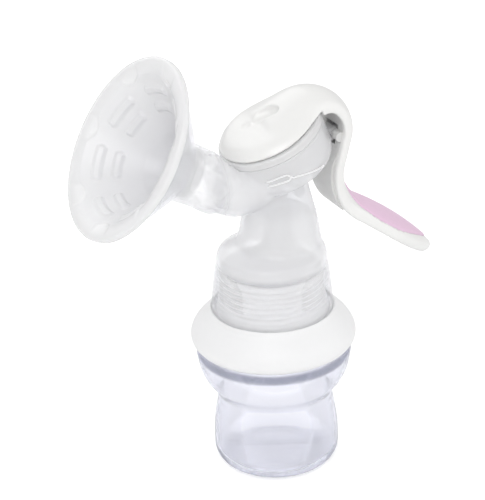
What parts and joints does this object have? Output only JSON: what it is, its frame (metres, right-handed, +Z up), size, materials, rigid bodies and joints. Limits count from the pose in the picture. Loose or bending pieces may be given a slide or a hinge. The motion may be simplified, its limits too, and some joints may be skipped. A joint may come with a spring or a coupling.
{
  "type": "manual breast pump",
  "caption": "Hand-squeezed breast pump: clear body with a petal-lined shield, a tilted diaphragm cup under a hinged lever cap, and a short bottle below a white ring.",
  "frame": {"origin": "centre of the bottle's base, on the surface that it stands on", "axes": "+Z up the bottle axis, -X towards the breast shield, +X towards the handle; the XZ plane is the plane of symmetry"},
  "size_m": [0.1729, 0.083, 0.2059],
  "materials": {
    "clear_bottle": "clear polypropylene, glossy",
    "clear_body": "translucent polypropylene, slightly milky",
    "white_shell": "white, satin",
    "white_ring": "white, fine matt",
    "frame_grey": "pale grey, satin",
    "silicone": "translucent silicone, soft sheen",
    "pink_soft": "pale pink soft-touch, matt"
  },
  "bodies": {
    "bottle": {"bottle": "clear_bottle"},
    "seal": {"bottle_seal": "silicone"},
    "pump": {"adapter_ring": "white_ring", "pump_body": "clear_body", "diaphragm": "silicone"},
    "handle": {"handle_shell": "white_shell", "handle_liner": "frame_grey", "grip_pad": "pink_soft"},
    "pull_rod": {"diaphragm_stem": "white_shell"},
    "cushion": {"breast_cushion": "silicone"},
    "valve": {"duckbill_valve": "silicone"}
  },
  "joints": [
    {"name": "pump_rise", "type": "slide", "parent": "bottle", "child": "seal", "axis": [0, 0, 1], "range_m": [0, 0.012]},
    {"name": "pump_turn", "type": "hinge", "parent": "seal", "child": "pump", "pos_m": [0, 0, 0.0746], "axis": [0, 0, 1], "range_deg": [0, 540]},
    {"name": "handle_squeeze", "type": "hinge", "parent": "pump", "child": "handle", "pos_m": [0.0313, 0, 0.1575], "axis": [0, 1, 0], "range_deg": [0, 15], "stiffness_Nm_per_rad": 0.5, "springref_deg": -5.73},
    {"name": "rod_lift", "type": "slide", "parent": "pump", "child": "pull_rod", "axis": [-0.4067, 0, 0.9135], "range_m": [0, 0.0075], "deforming": ["diaphragm"]},
    {"name": "cushion_pull", "type": "slide", "parent": "pump", "child": "cushion", "axis": [-0.8434, 0, 0.5373], "range_m": [0, 0.036]},
    {"name": "valve_pull", "type": "slide", "parent": "pump", "child": "valve", "axis": [0, 0, -1], "range_m": [0, 0.01]}
  ],
  "couplings": [
    {"joint": "pump_rise", "follows": "pump_turn", "m_per_rad": 0.0012732},
    {"joint": "rod_lift", "follows": "handle_squeeze", "m_per_rad": 0.0275}
  ]
}
